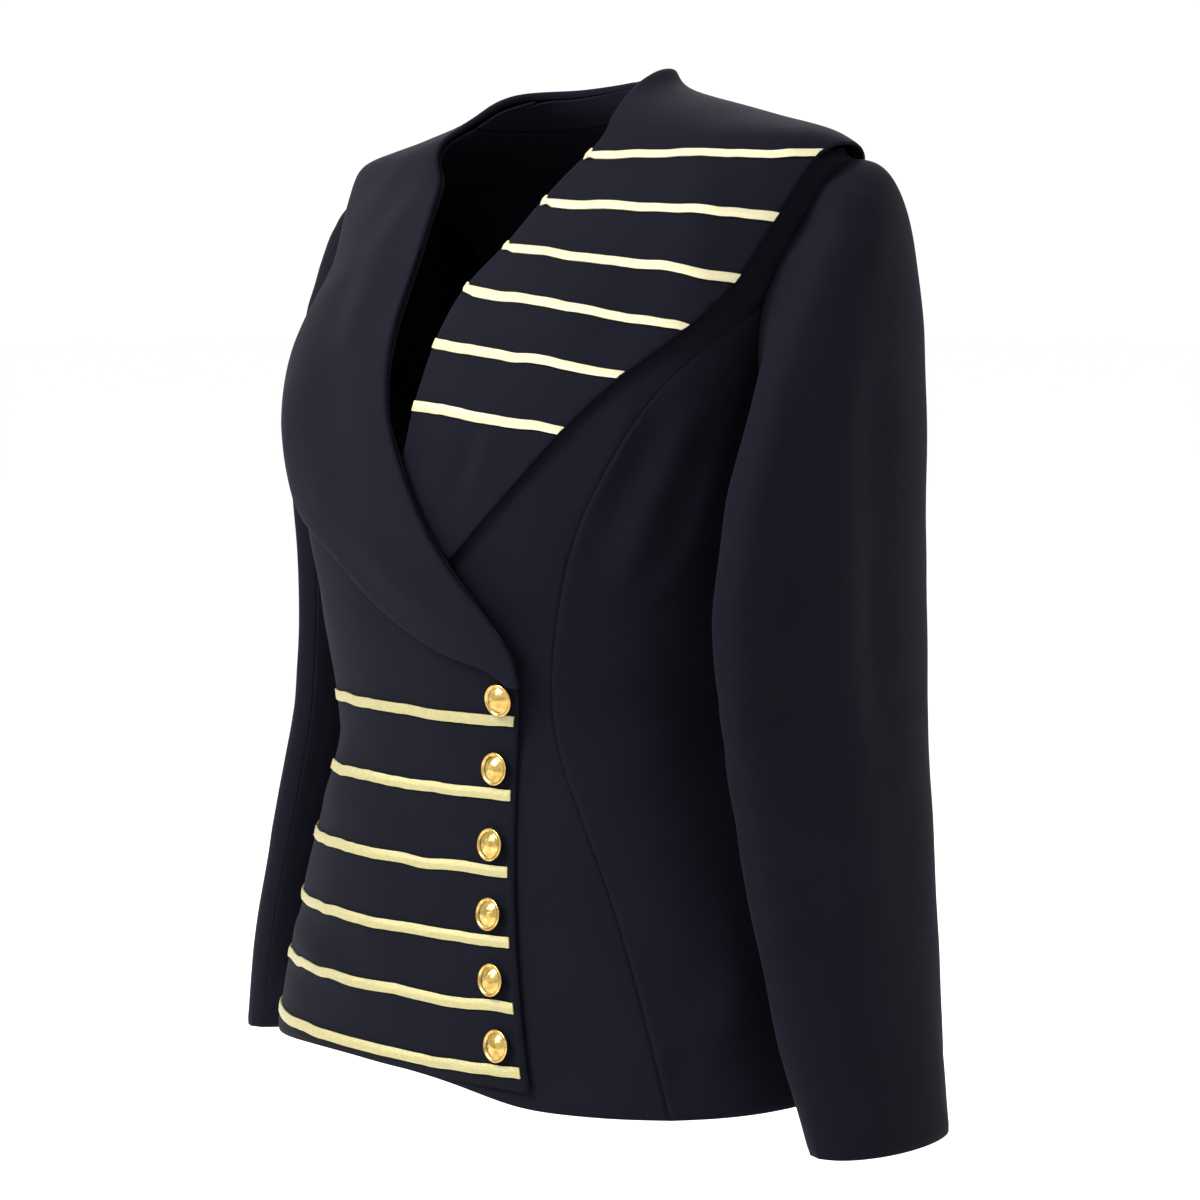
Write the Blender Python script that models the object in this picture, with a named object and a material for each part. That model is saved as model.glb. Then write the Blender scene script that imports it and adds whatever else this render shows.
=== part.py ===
"""Military-style blazer, filled out as when it is worn, with nothing inside it.

A black fitted jacket with princess seams, two-piece sleeves, a very wide rolled collar and a
right front that laps over the left. Gold braid lies across the right front and the left lapel,
and six domed buttons run down the closing edge.

Frame: +Z up, the front faces -Y and +X is the wearer's left. The origin is on the neck's axis
at the height where shoulder seam and collar meet. Metres; the tables are in centimetres.

The body is one smooth form, read by an angle round it (0 at centre front, 90 at the left side,
180 at centre back) and a level up it (0 at the hem, 3 the waist, 6 the underarm, 10 the
shoulder's edge, 12 the neck seam, 13 the top of the collar stand). Every piece of cloth is a
patch of that form, or lies on it.
"""
import bmesh
import bpy
import numpy as np

CM = 0.01
MM = 0.001

CLOTH = 1.6 * MM            # wool cloth with the layer that backs it
SEAM_GAP = 0.35 * MM        # clear space at every seam
NECK_SEAM_GAP = 0.9 * MM    # and at the neck, where the cloth turns up sharply
BRAID_WIDTH = 6.5 * MM
BRAID_THICKNESS = 1.2 * MM
BRAID_GAP = 0.4 * MM        # clear space under a braid
BUTTON_GAP = 0.3 * MM       # clear space under a button's shank
UNDER_LAP = 2.5 * MM        # how far the right front stands off to clear the left front
LAPEL_LAP = 7.5 * MM        # and how much further where the left lapel lies between them
LAP_ANGLES = (33.0, 46.0)   # degrees past the centre from which it stands off, and fully so
LAPEL_UNDER_FROM = (3.0, 3.6)       # levels over which the left lapel comes in between
LAPEL_UNDER_TO = (6.4, 7.6)         # and goes out again
LAPEL_GAP = 0.8 * MM        # clear space between a lapel and the front that it folds on to
RIGHT_FRONT_RISE = 1.1 * CM     # the right front's lower corner is carried a little high
RISE_ANGLES = (-54.0, -10.0)        # degrees past the centre over which that grows
UNDER_RISE_ANGLES = (-21.0, -6.0)   # and on the left front, which rises with it where it is covered
RISE_LEVELS = (0.0, 3.0)            # levels over which it goes

# The jacket hangs a little lower on the wearer's right shoulder: rise by the distance across.
DROP_COLUMNS = ("across", "rise")
SHOULDER_DROP = (
    (-20.0, -0.7),
    (-10.0, -0.8),
    (-5.5, -0.8),
    (0.0, -0.1),
    (5.5, 0.25),
    (10.0, 0.3),
    (15.0, 0.1),
    (20.0, 0.0),
)
DROP_HEIGHTS = (-9.0, -2.0)         # heights over which that grows

# Rings of the body form. front and back are how far it reaches from the neck's axis.
RING_COLUMNS = ("level", "height", "half_width", "front", "back", "squareness")
RINGS = (
    (0.0, -59.2, 20.9, 15.4, 13.2, 2.4),
    (1.0, -52.5, 19.3, 14.8, 12.8, 2.4),
    (2.0, -45.0, 16.8, 13.9, 11.0, 2.4),
    (3.0, -37.2, 14.1, 13.3, 9.3, 2.4),
    (4.0, -31.0, 15.0, 14.1, 9.8, 2.3),
    (5.0, -25.0, 15.9, 15.0, 10.8, 2.3),
    (6.0, -20.0, 16.7, 14.6, 11.4, 2.3),
    (7.0, -14.5, 17.4, 12.8, 11.6, 2.3),
    (8.0, -9.5, 18.3, 9.8, 11.2, 2.2),
    (9.0, -5.6, 19.6, 7.2, 10.2, 2.1),
    (10.0, -3.0, 19.9, 5.4, 9.0, 2.0),
    (11.0, -1.3, 13.4, 5.0, 7.4, 2.0),
    (12.0, 0.0, 7.9, 4.9, 5.8, 2.0),
    (12.5, 0.9, 6.4, 4.8, 5.0, 2.0),
    (13.0, 1.9, 5.9, 4.7, 4.8, 2.0),
)

# The armhole is an oval on the body form.
ARMHOLE_ANGLE = 101.0       # of its middle
ARMHOLE_HALF_ANGLE = 22.0
ARMHOLE_LEVEL = 8.05
ARMHOLE_HALF_LEVEL = 1.9
ARMHOLE_STEPS = 10          # rows of cloth from the underarm to the shoulder's edge
ROWS_BELOW_ARMHOLE = 13
ROWS_OVER_SHOULDER = 5
SIDE_PANEL_ROWS = 4         # rows beside the armhole that the side panels take
SMALL_ANGLE = 1.0           # degrees, and levels, either way for reading a slope
SMALL_LEVEL = 0.05

# Columns of cloth in each panel.
FRONT_STEPS = 7
SIDE_STEPS = 4
BACK_STEPS = 5
STAND_STEPS = 8
STAND_ROWS = 4
NECK_SEAM = 12              # level
SAMPLES = 400               # places at which a line is read before it is looked up
SHARP_EDGE = 40             # degrees

# Seams, as angles from centre front at each level, alike on both sides.
SEAM_COLUMNS = ("level", "princess", "side", "back_princess")
SEAMS = (
    (0.0, 55.0, 96.0, 138.0),
    (1.5, 48.5, 95.0, 140.0),
    (2.4, 42.5, 94.0, 144.0),
    (3.2, 36.5, 94.0, 146.0),
    (4.1, 39.0, 95.0, 143.0),
    (5.0, 44.0, 97.0, 139.0),
    (6.15, 53.0, 101.0, 133.0),
    (6.93, 64.0, 101.0, 127.5),
    (7.46, 79.0, 101.0, 122.3),
)
SHOULDER_SEAM = 101.0
CENTRE_BACK = 180.0
STAND_TOP = 12.97           # level
STAND_SLOPE_SPAN = 0.5      # levels over which the stand's slope is measured

# The closing edges, as angles to the wearer's left of centre front, up to where the lapels break.
EDGE_COLUMNS = ("level", "left", "right")
CLOSING_EDGES = (
    (0.0, -22.0, 25.5),
    (1.0, -22.0, 23.5),
    (1.8, -23.0, 23.0),
    (2.5, -25.0, 25.5),
    (3.0, -26.5, 27.3),
    (3.42, -27.0, 29.6),
)

# The lapel and collar, from the break up the front, over the shoulder and round to the centre
# back. roll is the folded edge, outer is the free edge, and lift is how far it stands off.
LAPEL_COLUMNS = ("row", "roll_level", "roll_angle", "outer_level", "outer_angle", "lift")
LEFT_LAPEL = (
    (0.0, 3.75, -27.0, 3.72, -24.0, 0.2),
    (1.0, 4.3, -20.0, 4.1, -7.0, 0.2),
    (2.0, 5.0, -8.0, 4.68, 12.5, 0.2),
    (3.0, 5.7, 1.0, 5.36, 25.0, 0.25),
    (4.0, 6.38, 2.0, 6.18, 37.5, 0.3),
    (5.0, 7.04, 2.5, 6.74, 48.0, 0.35),
    (6.0, 7.68, 4.5, 7.24, 60.0, 0.4),
    (7.0, 8.24, 9.5, 7.82, 68.0, 0.45),
    (8.0, 8.92, 13.5, 8.68, 70.0, 0.5),
    (9.0, 9.9, 19.5, 10.0, 77.0, 0.8),
    (10.0, 11.1, 34.0, 10.06, 88.0, 0.7),
    (11.0, 12.2, 66.0, 10.05, 100.0, 0.6),
    (12.0, 12.9, 96.0, 9.75, 114.0, 0.55),
    (13.0, 13.0, 124.0, 8.7, 132.0, 0.4),
    (14.0, 13.0, 152.0, 8.05, 155.0, 0.4),
    (15.0, 13.0, 179.8, 7.8, 179.8, 0.4),
)
RIGHT_LAPEL = (
    (0.0, 3.5, -29.6, 3.5, -27.0, 0.25),
    (1.0, 3.78, -28.5, 3.68, -22.0, 0.25),
    (2.0, 4.16, -23.0, 3.8, -10.5, 0.25),
    (3.0, 4.66, -13.5, 4.2, 3.0, 0.3),
    (4.0, 5.24, -6.0, 4.7, 15.0, 0.4),
    (5.0, 5.94, -0.5, 5.22, 38.0, 0.7),
    (6.0, 6.6, 3.5, 5.95, 56.0, 2.0),
    (7.0, 7.32, 8.0, 6.8, 66.0, 2.3),
    (8.0, 8.14, 11.0, 7.8, 70.0, 0.8),
    (9.0, 9.1, 15.0, 8.8, 74.0, 0.8),
    (10.0, 10.1, 21.0, 9.8, 80.0, 0.9),
    (11.0, 11.1, 36.5, 9.98, 90.0, 0.6),
    (12.0, 12.2, 66.0, 10.05, 100.0, 0.5),
    (13.0, 12.9, 96.0, 9.75, 114.0, 0.5),
    (14.0, 13.0, 124.0, 8.7, 132.0, 0.4),
    (15.0, 13.0, 152.0, 8.05, 155.0, 0.4),
    (16.0, 13.0, 179.8, 7.8, 179.8, 0.4),
)
LAPEL_STEPS = 7
MESH_ROWS_PER_ROW = 2
ROLL_STEPS = 4              # facets round the folded edge
LAPEL_FOLD = 3.0 * MM       # height of the folded edge on the lapel
COLLAR_FOLD = 6.0 * MM      # and at the back of the neck
COLLAR_LEVEL = (11.5, 13.0)     # the levels between which it grows to that
# Braids on the left lapel, from the top: row of the lapel's table, and how far it sags, in cm.
LEFT_LAPEL_BRAIDS = (
    (9.0, 0.45),
    (8.0, 0.6),
    (7.0, 0.5),
    (6.0, 0.4),
    (5.0, 0.1),
    (4.0, 0.0),
)
SAG_SKEW = 0.45     # below 1 the sag is deepest near the roll

# Sleeve sections below the underarm. The right arm hangs further back and a little lower.
SLEEVE_COLUMNS = ("step", "height", "out", "back", "half_across", "half_deep", "right_back", "right_low")
SLEEVE = (
    (0.0, -25.0, 20.2, 0.6, 3.4, 8.4, 1.6, 0.0),
    (1.0, -30.0, 19.8, 0.8, 3.2, 9.1, 2.1, 0.1),
    (2.0, -38.0, 20.5, 0.7, 3.2, 8.5, 1.9, 0.3),
    (3.0, -46.3, 22.2, 0.2, 3.1, 7.8, 1.1, 0.5),
    (4.0, -53.5, 24.0, -0.5, 3.0, 6.9, 0.8, 0.7),
    (5.0, -60.6, 25.9, -0.9, 2.8, 5.6, 0.5, 0.9),
)
SLEEVE_ROWS = 10
SLEEVE_ROW_STEP = 0.02
UPPER_SLEEVE = (-72.0, 108.0)       # its two seams, as angles round the sleeve from its outer side
SLEEVE_SEAM_GAP = 0.3               # degrees round the sleeve, each side of a seam
# The sleeve's cap runs from just inside the armhole, outwards and then down, to the first section.
SLEEVE_CAP_ROWS = 8
CAP_INSIDE_ANGLE = 0.15             # degrees, and levels, that it starts inside the armhole by
CAP_INSIDE_LEVEL = 0.013
CAP_LEAVE_SHARE = 0.5               # how strongly it leaves: a share of its reach, and a length
CAP_LEAVE = 2.0 * CM
CAP_FULLNESS = 6.0 * CM             # and what the head over the shoulder adds
CAP_FULL_COSINES = (-0.3, 0.8)      # of the turn from its top, from where it starts to where it is full
CAP_LEAVE_SLOPE = 0.3               # of the body's own slope there
CAP_LEAVE_RISE = 0.35               # and how much it rises where the head is full
CAP_ARRIVE_SHARE = 0.9              # how strongly it arrives, and in which direction
CAP_ARRIVE = 0.8 * CM
CAP_FALL = (-0.06, 0.0, -1.0)
SLEEVE_HALF_STEPS = 10              # columns of each sleeve piece, which meet the armhole's rows

# Braids on the right front, from the top: heights at the closing edge and at the side seam.
FRONT_BRAIDS = (
    (-36.4, -36.2),
    (-40.8, -41.2),
    (-45.3, -45.9),
    (-49.4, -50.3),
    (-53.2, -54.4),
    (-57.0, -58.2),
)
BRAID_FROM_EDGE = 0.1       # share of the panel's first column left bare
BUTTON_ABOVE_BRAID = 1.45   # centimetres
BUTTON_FROM_EDGE = 5.0      # degrees round the body
# Button's turned profile in millimetres: shank, back, rim, groove and dome.
BUTTON_PROFILE = (
    (3.0, 0.0),
    (3.0, 2.2),
    (9.1, 2.2),
    (10.0, 2.9),
    (10.0, 3.7),
    (9.3, 4.3),
    (8.4, 4.0),
    (6.3, 5.3),
    (3.3, 6.3),
)
BUTTON_TOP = 6.7
BUTTON_SIDES = 14


def track(table, columns, name):
    """A smooth function of a table's first column that passes through the named column."""
    data = np.array(table, float)
    keys = data[:, 0]
    values = data[:, columns.index(name)]
    steps = np.diff(values) / np.diff(keys)
    slopes = np.concatenate(([steps[0]], np.zeros(len(steps) - 1), [steps[-1]]))
    for i in range(1, len(steps)):
        if steps[i - 1] * steps[i] > 0:
            slopes[i] = 2 * steps[i - 1] * steps[i] / (steps[i - 1] + steps[i])

    def value(key):
        key = np.clip(np.asarray(key, float), keys[0], keys[-1])
        i = np.clip(np.searchsorted(keys, key, side="right") - 1, 0, len(steps) - 1)
        span = keys[i + 1] - keys[i]
        t = (key - keys[i]) / span
        start = (2 * t**3 - 3 * t**2 + 1) * values[i] + (t**3 - 2 * t**2 + t) * span * slopes[i]
        end = (3 * t**2 - 2 * t**3) * values[i + 1] + (t**3 - t**2) * span * slopes[i + 1]
        return start + end

    return value


def tracks(table, columns):
    return {name: track(table, columns, name) for name in columns[1:]}


def ease(value, low, high):
    """0 below low, 1 above high and a smooth climb between."""
    t = np.clip((value - low) / (high - low), 0, 1)
    return t * t * (3 - 2 * t)


RING = tracks(RINGS, RING_COLUMNS)
SEAM = tracks(SEAMS, SEAM_COLUMNS)
CLOSING = tracks(CLOSING_EDGES, EDGE_COLUMNS)
SLEEVE_TRACK = tracks(SLEEVE, SLEEVE_COLUMNS)


def body_form(angle, level):
    """Points on the body form, in metres."""
    angle, level = np.broadcast_arrays(np.asarray(angle, float), np.asarray(level, float))
    turn = np.radians(angle)
    power = 2 / RING["squareness"](level)
    across = np.sign(np.sin(turn)) * np.abs(np.sin(turn)) ** power
    along = np.sign(np.cos(turn)) * np.abs(np.cos(turn)) ** power
    front = RING["front"](level)
    back = RING["back"](level)
    x = RING["half_width"](level) * across
    y = (back - front) / 2 - (back + front) / 2 * along
    return np.stack((x, y, RING["height"](level)), axis=-1) * CM


def body_normal(angle, level):
    """Unit vectors pointing out of the body form."""
    angle, level = np.broadcast_arrays(np.asarray(angle, float), np.asarray(level, float))
    round_it = body_form(angle + SMALL_ANGLE, level) - body_form(angle - SMALL_ANGLE, level)
    low = np.clip(level - SMALL_LEVEL, 0, RINGS[-1][0])
    high = np.clip(level + SMALL_LEVEL, 0, RINGS[-1][0])
    up_it = body_form(angle, high) - body_form(angle, low)
    normal = np.cross(round_it, up_it)
    return normal / np.linalg.norm(normal, axis=-1, keepdims=True)


def on_body(angle, level, lift):
    return body_form(angle, level) + body_normal(angle, level) * np.asarray(lift)[..., None]


def front_edge(closing, lapel, level):
    """Angle of a front's free edge: the closing edge, and above the break the roll line."""
    rows = np.linspace(0, lapel[-1][0], SAMPLES)
    roll_level = track(lapel, LAPEL_COLUMNS, "roll_level")(rows)
    roll_angle = track(lapel, LAPEL_COLUMNS, "roll_angle")(rows)
    return np.where(level < roll_level[0], closing(level), np.interp(level, roll_level, roll_angle))


def left_edge(level):
    return front_edge(CLOSING["left"], LEFT_LAPEL, level)


def right_edge(level):
    """Measured to the wearer's right, like everything that is mirrored afterwards."""
    return front_edge(lambda low: -CLOSING["right"](low), RIGHT_LAPEL, level)


def armhole_turns():
    return np.linspace(0, 180, ARMHOLE_STEPS + 1)


def armhole_level(turn):
    """turn is 0 at the underarm and 180 at the shoulder's edge."""
    return ARMHOLE_LEVEL - ARMHOLE_HALF_LEVEL * np.cos(np.radians(turn))


def armhole_edge(level, side_sign):
    """Angle of the armhole's front (-1) or back (+1) edge at a level."""
    height = np.clip((level - ARMHOLE_LEVEL) / ARMHOLE_HALF_LEVEL, -1, 1)
    return ARMHOLE_ANGLE + side_sign * ARMHOLE_HALF_ANGLE * np.sqrt(1 - height**2)


def body_levels():
    """Rows of cloth shared by every panel, so that facets meet along each seam."""
    below = np.linspace(0, armhole_level(0), ROWS_BELOW_ARMHOLE + 1)[:-1]
    beside = armhole_level(armhole_turns())
    above = np.linspace(beside[-1], NECK_SEAM, ROWS_OVER_SHOULDER + 1)[1:]
    return np.concatenate((below, beside, above))


LEVELS = body_levels()
UNDERARM = armhole_level(0)
SHOULDER_EDGE = armhole_level(180)
SIDE_PANEL_TOP = armhole_level(armhole_turns()[SIDE_PANEL_ROWS])


def gap_angle(angles, levels):
    """The angle round the body that half a seam's gap takes up, more where the seam slants."""
    step = body_form(angles + 0.5, levels) - body_form(angles - 0.5, levels)
    run = np.gradient(body_form(angles, levels), axis=0)
    run = run / np.linalg.norm(run, axis=-1, keepdims=True)
    across = np.linalg.norm(np.cross(step, run), axis=-1)
    return SEAM_GAP / 2 / across


def princess_edge(level):
    return np.where(level <= SIDE_PANEL_TOP, SEAM["princess"](level), front_armhole(level))


def back_princess_edge(level):
    return np.where(level <= SIDE_PANEL_TOP, SEAM["back_princess"](level), back_armhole(level))


def front_armhole(level):
    return np.where(level < SHOULDER_EDGE, armhole_edge(level, -1), SHOULDER_SEAM)


def back_armhole(level):
    return np.where(level < SHOULDER_EDGE, armhole_edge(level, 1), SHOULDER_SEAM)


def side_front_edge(level):
    return np.where(level <= UNDERARM, SEAM["side"](level), armhole_edge(level, -1))


def centre_back(level):
    return CENTRE_BACK + 0 * level


def side_back_edge(level):
    return np.where(level <= UNDERARM, SEAM["side"](level), armhole_edge(level, 1))


def material(name, colour, roughness, metallic):
    made = bpy.data.materials.new(name)
    made.use_nodes = True
    shader = made.node_tree.nodes["Principled BSDF"]
    shader.inputs["Base Color"].default_value = (*colour, 1)
    shader.inputs["Roughness"].default_value = roughness
    shader.inputs["Metallic"].default_value = metallic
    return made


def settled(points):
    """The jacket's uneven hang on the shoulders, given to every piece alike."""
    points = np.array(points)
    drop = track(SHOULDER_DROP, DROP_COLUMNS, "rise")(points[:, 0] / CM)
    points[:, 2] += drop * CM * ease(points[:, 2] / CM, *DROP_HEIGHTS)
    return points


def add_mesh(name, points, faces, finish):
    mesh = bpy.data.meshes.new(name)
    mesh.from_pydata([tuple(point) for point in settled(points)], [], faces)
    shell = bmesh.new()
    shell.from_mesh(mesh)
    bmesh.ops.recalc_face_normals(shell, faces=shell.faces)
    if shell.calc_volume(signed=True) < 0:
        bmesh.ops.reverse_faces(shell, faces=shell.faces)
    shell.to_mesh(mesh)
    shell.free()
    mesh.shade_smooth()
    mesh.set_sharp_from_angle(angle=np.radians(SHARP_EDGE))
    mesh.materials.append(material(name, *finish))
    piece = bpy.data.objects.new(name, mesh)
    bpy.context.scene.collection.objects.link(piece)
    return piece


def wall(name, inner, outer, finish):
    """A closed wall of cloth between two grids of points."""
    rows, columns = inner.shape[:2]
    points = np.concatenate((inner.reshape(-1, 3), outer.reshape(-1, 3)))
    skin = rows * columns

    def at(row, column, side=0):
        return side * skin + row * columns + column

    faces = []
    for row in range(rows - 1):
        for column in range(columns - 1):
            quad = [at(row, column), at(row, column + 1), at(row + 1, column + 1), at(row + 1, column)]
            faces.append(quad)
            faces.append([index + skin for index in reversed(quad)])
    rim = [at(0, c) for c in range(columns)]
    rim += [at(r, columns - 1) for r in range(1, rows)]
    rim += [at(rows - 1, c) for c in range(columns - 2, -1, -1)]
    rim += [at(r, 0) for r in range(rows - 2, 0, -1)]
    for here, there in zip(rim, rim[1:] + rim[:1]):
        faces.append([here, here + skin, there + skin, there])
    return add_mesh(name, points, faces, finish)


BLACK_CLOTH = ((0.012, 0.012, 0.018), 0.85, 0.0)
GOLD_BRAID = ((0.85, 0.7, 0.32), 0.45, 0.6)
BUTTON_BRASS = ((0.9, 0.6, 0.18), 0.25, 1.0)


def panel_grid(levels, first_edge, last_edge, steps, lift=None, rise=None):
    """Inner and outer points of a panel between two seams, row by row."""
    first = first_edge(levels) + gap_angle(first_edge(levels), levels)
    last = last_edge(levels) - gap_angle(last_edge(levels), levels)
    share = np.linspace(0, 1, steps + 1)
    angles = first[:, None] + (last - first)[:, None] * share
    rows = np.broadcast_to(levels[:, None], angles.shape)
    stand = np.zeros(angles.shape) if lift is None else lift(angles, rows)
    inner = on_body(angles, rows, stand)
    outer = on_body(angles, rows, stand + CLOTH)
    if rise is not None:
        up = rise(angles, rows)[..., None] * np.array((0, 0, 1))
        inner = inner + up
        outer = outer + up
    return inner, outer


def mirrored(points):
    return points * np.array((-1, 1, 1))


def right_front_lift(angle, level):
    """How far the right front stands off the body form. angle is measured to the wearer's right."""
    over_left = ease(-angle, -LAP_ANGLES[1], -LAP_ANGLES[0])
    lapel_between = ease(level, *LAPEL_UNDER_FROM) * (1 - ease(level, *LAPEL_UNDER_TO))
    return over_left * (UNDER_LAP + LAPEL_LAP * lapel_between)


def right_front_rise(angle, level):
    return RIGHT_FRONT_RISE * ease(-angle, *RISE_ANGLES) * (1 - ease(level, *RISE_LEVELS))


def left_front_rise(angle, level):
    return RIGHT_FRONT_RISE * ease(-angle, *UNDER_RISE_ANGLES) * (1 - ease(level, *RISE_LEVELS))


def make_body():
    """The eight panels. Returns the grids that the braids and buttons are made from."""
    low = LEVELS[LEVELS <= SIDE_PANEL_TOP + 1e-6]
    left = panel_grid(LEVELS, left_edge, princess_edge, FRONT_STEPS, rise=left_front_rise)
    right = panel_grid(LEVELS, right_edge, princess_edge, FRONT_STEPS, right_front_lift, right_front_rise)
    wall("front_left", *left, BLACK_CLOTH)
    wall("front_right", *[mirrored(points) for points in right], BLACK_CLOTH)
    sides = {
        "side_front": panel_grid(low, SEAM["princess"], side_front_edge, SIDE_STEPS),
        "side_back": panel_grid(low, side_back_edge, SEAM["back_princess"], SIDE_STEPS),
        "back": panel_grid(LEVELS, back_princess_edge, centre_back, BACK_STEPS),
    }
    for name, grid in sides.items():
        wall(name + "_left", *grid, BLACK_CLOTH)
        wall(name + "_right", *[mirrored(points) for points in grid], BLACK_CLOTH)
    return right, sides["side_front"]


def make_stands():
    """The collar's stand, from the neck seam up to the rolled edge, in two halves."""
    foot = body_form(CENTRE_BACK, NECK_SEAM)
    above = body_form(CENTRE_BACK, NECK_SEAM + STAND_SLOPE_SPAN)
    rise = np.linalg.norm(above - foot) / STAND_SLOPE_SPAN
    levels = np.linspace(NECK_SEAM + NECK_SEAM_GAP / rise, STAND_TOP, STAND_ROWS)
    half = panel_grid(levels, left_edge, centre_back, STAND_STEPS)
    wall("collar_stand_left", *half, BLACK_CLOTH)
    wall("collar_stand_right", *[mirrored(points) for points in half], BLACK_CLOTH)


def armhole_point(turn):
    """Just inside the armhole. turn is 0 at the shoulder's edge and 90 at the front."""
    radians = np.radians(turn)
    angle = ARMHOLE_ANGLE - (ARMHOLE_HALF_ANGLE - CAP_INSIDE_ANGLE) * np.sin(radians)
    level = ARMHOLE_LEVEL + (ARMHOLE_HALF_LEVEL - CAP_INSIDE_LEVEL) * np.cos(radians)
    return body_form(angle, level), body_normal(angle, level)


def sleeve_section(turn, step, is_right):
    """A point on the sleeve's section, by its angle from the outer side towards the front."""
    radians = np.radians(turn)
    back = SLEEVE_TRACK["back"](step) + SLEEVE_TRACK["right_back"](step) * is_right
    x = SLEEVE_TRACK["out"](step) + SLEEVE_TRACK["half_across"](step) * np.cos(radians)
    y = back - SLEEVE_TRACK["half_deep"](step) * np.sin(radians)
    z = SLEEVE_TRACK["height"](step) - SLEEVE_TRACK["right_low"](step) * is_right + 0 * radians
    return np.stack((x, y, z), axis=-1) * CM


def sleeve_form(turn, way, is_right):
    """A point on the sleeve: way runs 0 to 1 over the cap and then 1 a section to the hem."""
    start, out = armhole_point(turn)
    end = sleeve_section(turn, np.zeros_like(turn), is_right)
    reach = np.linalg.norm(end - start, axis=-1, keepdims=True)
    full = ease(np.cos(np.radians(turn)), *CAP_FULL_COSINES)[..., None]
    out = out * np.array((1.0, 1.0, CAP_LEAVE_SLOPE)) + full * np.array((0, 0, CAP_LEAVE_RISE))
    out = out / np.linalg.norm(out, axis=-1, keepdims=True)
    leave = out * (CAP_LEAVE_SHARE * reach + CAP_LEAVE + full * CAP_FULLNESS)
    arrive = np.array(CAP_FALL) * (CAP_ARRIVE_SHARE * reach + CAP_ARRIVE)
    t = np.clip(way, 0, 1)[..., None]
    cap = (2 * t**3 - 3 * t**2 + 1) * start + (t**3 - 2 * t**2 + t) * leave
    cap = cap + (3 * t**2 - 2 * t**3) * end + (t**3 - t**2) * arrive
    below = sleeve_section(turn, np.clip(way - 1, 0, None), is_right)
    return np.where((way <= 1)[..., None], cap, below)


def sleeve_grid(first_turn, last_turn, steps, is_right):
    ways = np.concatenate((np.linspace(0, 1, SLEEVE_CAP_ROWS + 1),
                           np.linspace(1, 1 + SLEEVE[-1][0], SLEEVE_ROWS + 1)[1:]))
    turns = np.linspace(first_turn + SLEEVE_SEAM_GAP, last_turn - SLEEVE_SEAM_GAP, steps + 1)
    way, turn = np.meshgrid(ways, turns, indexing="ij")
    across = sleeve_form(turn + 1, way, is_right) - sleeve_form(turn - 1, way, is_right)
    low = np.clip(way - SLEEVE_ROW_STEP, 0, ways[-1])
    high = np.clip(way + SLEEVE_ROW_STEP, 0, ways[-1])
    along = sleeve_form(turn, high, is_right) - sleeve_form(turn, low, is_right)
    normal = np.cross(along, across)
    normal = -normal / np.linalg.norm(normal, axis=-1, keepdims=True)
    outer = sleeve_form(turn, way, is_right)
    return outer - normal * CLOTH, outer


def make_sleeves():
    front_seam, back_seam = UPPER_SLEEVE[1], UPPER_SLEEVE[0]
    for side, is_right in (("left", False), ("right", True)):
        upper = sleeve_grid(back_seam, front_seam, SLEEVE_HALF_STEPS, is_right)
        under = sleeve_grid(front_seam, 360 + back_seam, SLEEVE_HALF_STEPS, is_right)
        for name, grid in (("upper_sleeve_", upper), ("under_sleeve_", under)):
            if is_right:
                grid = [mirrored(points) for points in grid]
            wall(name + side, *grid, BLACK_CLOTH)


def lapel_sheet(table, base_lift):
    """The lapel's middle surface, row by row, from the folded edge to the free edge."""
    part = tracks(table, LAPEL_COLUMNS)
    rows = np.linspace(0, table[-1][0], round(table[-1][0]) * MESH_ROWS_PER_ROW + 1)
    roll_angle = part["roll_angle"](rows)
    roll_level = part["roll_level"](rows)
    share = np.linspace(0, 1, LAPEL_STEPS + 1)
    angles = roll_angle[:, None] + (part["outer_angle"](rows) - roll_angle)[:, None] * share
    levels = roll_level[:, None] + (part["outer_level"](rows) - roll_level)[:, None] * share
    fold = LAPEL_FOLD + (COLLAR_FOLD - LAPEL_FOLD) * ease(roll_level, *COLLAR_LEVEL)
    rest = part["lift"](rows) * CM
    stand_off = fold[:, None] + (rest - fold)[:, None] * ease(share, 0.0, 1.0)
    base = base_lift(angles, levels) + LAPEL_GAP + CLOTH * 1.5
    start = on_body(roll_angle, roll_level, base[:, 0])
    return start, on_body(angles, levels, base + stand_off)


def rolled_lapel(table, base_lift):
    """Inner and outer points of the lapel, the fold's own columns first."""
    start, sheet = lapel_sheet(table, base_lift)
    rise = sheet[:, 0] - start
    height = np.linalg.norm(rise, axis=-1, keepdims=True)
    out = start - sheet[:, 1]
    out = out - rise * np.sum(out * rise, axis=-1, keepdims=True) / height**2
    out = out / np.linalg.norm(out, axis=-1, keepdims=True)
    centre = start + rise / 2
    turns = np.radians(np.linspace(-90, 90, ROLL_STEPS + 1)[:-1])
    fold = [centre + np.sin(turn) * rise / 2 + np.cos(turn) * out * height / 2 for turn in turns]
    middle = np.concatenate((np.stack(fold, axis=1), sheet), axis=1)
    normal = np.cross(np.gradient(middle, axis=1), np.gradient(middle, axis=0))
    normal = normal / np.linalg.norm(normal, axis=-1, keepdims=True)
    return middle - normal * CLOTH / 2, middle + normal * CLOTH / 2


def make_lapels():
    """Each is the lapel and half the collar in one, up to the centre back seam."""
    left = rolled_lapel(LEFT_LAPEL, lambda angle, level: 0 * angle)
    right = rolled_lapel(RIGHT_LAPEL, right_front_lift)
    wall("collar_left", *left, BLACK_CLOTH)
    wall("collar_right", *[mirrored(points) for points in right], BLACK_CLOTH)
    return left


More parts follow.
